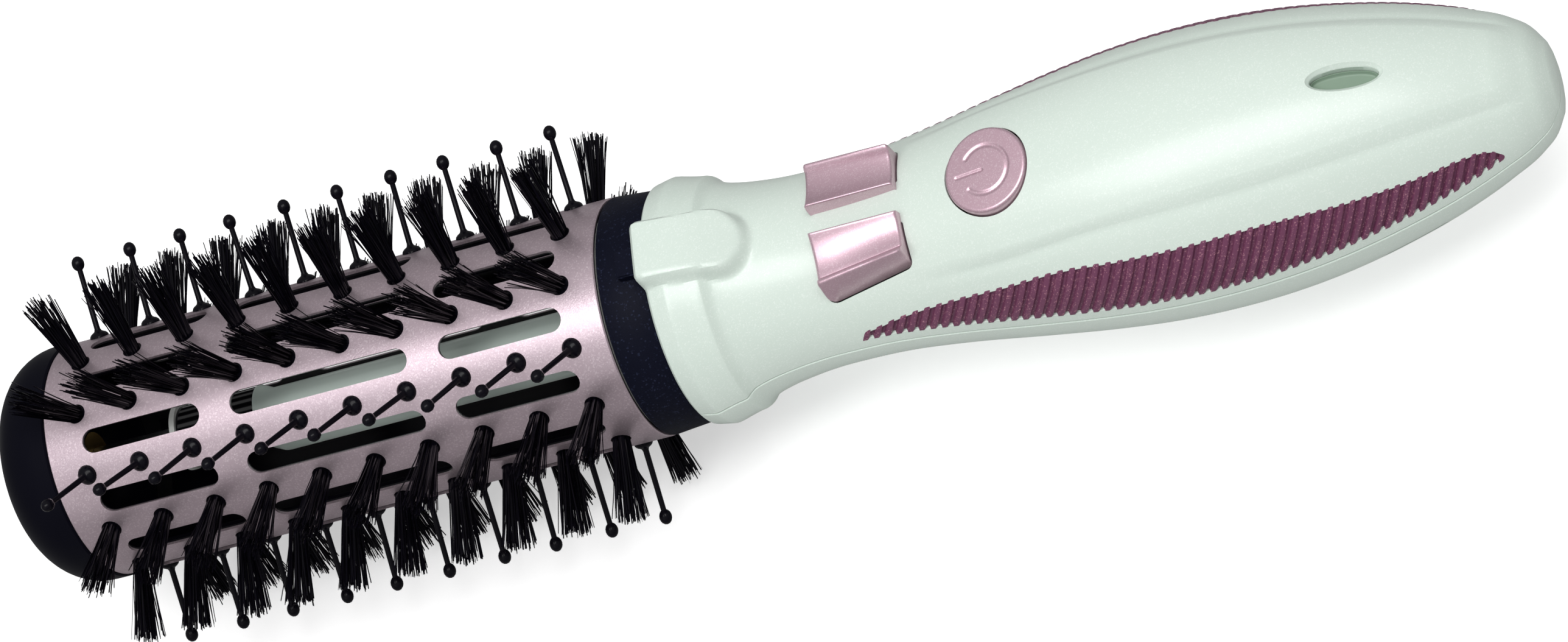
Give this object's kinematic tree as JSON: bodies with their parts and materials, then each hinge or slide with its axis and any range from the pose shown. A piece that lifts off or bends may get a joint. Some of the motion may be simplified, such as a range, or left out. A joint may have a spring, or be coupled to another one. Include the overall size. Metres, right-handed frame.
{
  "type": "hot air brush",
  "caption": "Hot air styling brush: perforated round barrel with pins and bristle tufts that turns on a ribbed-grip handle with push buttons, heater and blower inside.",
  "frame": {"origin": "centre of the bounding box, at its bottom, on the surface that the bristles rest on", "axes": "+X along the barrel's axis towards the handle's tail, +Z towards the push buttons"},
  "size_m": [0.331, 0.0852, 0.0853],
  "materials": {
    "mint_shell": "pearl gloss",
    "plum_grip": "satin with fine metallic fleck",
    "rose_button": "metallic satin",
    "rose_sleeve": "satin anodised",
    "black_cap": "satin",
    "black_collar": "fine texture",
    "black_nylon": "gloss",
    "pale_spindle": "gloss",
    "white_acetal": "satin",
    "black_gloss": "gloss",
    "steel": "turned",
    "brass": "machined",
    "smoke_lens": "clear gloss",
    "led_clear": "clear gloss",
    "green_board": "solder mask",
    "black_switch": "satin",
    "mica": "pearly sheet",
    "heater_wire": "oxidised",
    "motor_steel": "plated",
    "duct_plastic": "satin"
  },
  "bodies": {
    "handle": {"base_collar": "black_collar", "blower_motor": "motor_steel", "case_screws": "steel", "control_board": "green_board", "cord_gland": "black_switch", "fan_housing": "duct_plastic", "front_bush": "white_acetal", "front_shell": "mint_shell", "gear_motor": "motor_steel", "heat_shroud": "motor_steel", "heater_coil": "heater_wire", "heater_frame": "mica", "indicator_led": "led_clear", "indicator_lens": "smoke_lens", "led_board": "green_board", "left_grip": "plum_grip", "motor_mount": "duct_plastic", "power_switch": "black_switch", "rear_bush": "white_acetal", "rear_shell": "mint_shell", "right_grip": "plum_grip", "spindle_nose": "black_gloss", "spindle_tube": "pale_spindle", "tact_switches": "black_switch"},
    "brush_barrel": {"bristle_row_1": "black_nylon", "bristle_row_10": "black_nylon", "bristle_row_12": "black_nylon", "bristle_row_3": "black_nylon", "bristle_row_4": "black_nylon", "bristle_row_6": "black_nylon", "bristle_row_7": "black_nylon", "bristle_row_9": "black_nylon", "pin_row_11": "black_nylon", "pin_row_2": "black_nylon", "pin_row_5": "black_nylon", "pin_row_8": "black_nylon", "barrel_sleeve": "rose_sleeve", "tip_cap": "black_cap", "drive_hub": "brass", "drive_shaft": "steel", "barrel_ring": "white_acetal"},
    "rotate_left_key": {"rotate_left_button": "rose_button"},
    "rotate_right_key": {"rotate_right_button": "rose_button"},
    "power_key": {"power_button": "rose_button"},
    "fan": {"blower_fan": "duct_plastic", "blower_shaft": "steel"}
  },
  "joints": [
    {"name": "barrel_spin", "type": "hinge", "parent": "handle", "child": "brush_barrel", "pos_m": [-0.08795, 0, 0.04265], "axis": [1, 0, 0], "continuous": true},
    {"name": "fan_spin", "type": "hinge", "parent": "handle", "child": "fan", "pos_m": [0.0995, 0, 0.04265], "axis": [1, 0, 0], "continuous": true},
    {"name": "rotate_left_press", "type": "slide", "parent": "handle", "child": "rotate_left_key", "axis": [0, 0.4384, -0.8988], "range_m": [0, 0.0015], "stiffness_N_per_m": 700, "springref_m": -0.001},
    {"name": "rotate_right_press", "type": "slide", "parent": "handle", "child": "rotate_right_key", "axis": [0, -0.4384, -0.8988], "range_m": [0, 0.0015], "stiffness_N_per_m": 700, "springref_m": -0.001},
    {"name": "power_press", "type": "slide", "parent": "handle", "child": "power_key", "axis": [0.1564, 0, -0.9877], "range_m": [0, 0.0012], "stiffness_N_per_m": 700, "springref_m": -0.001}
  ]
}
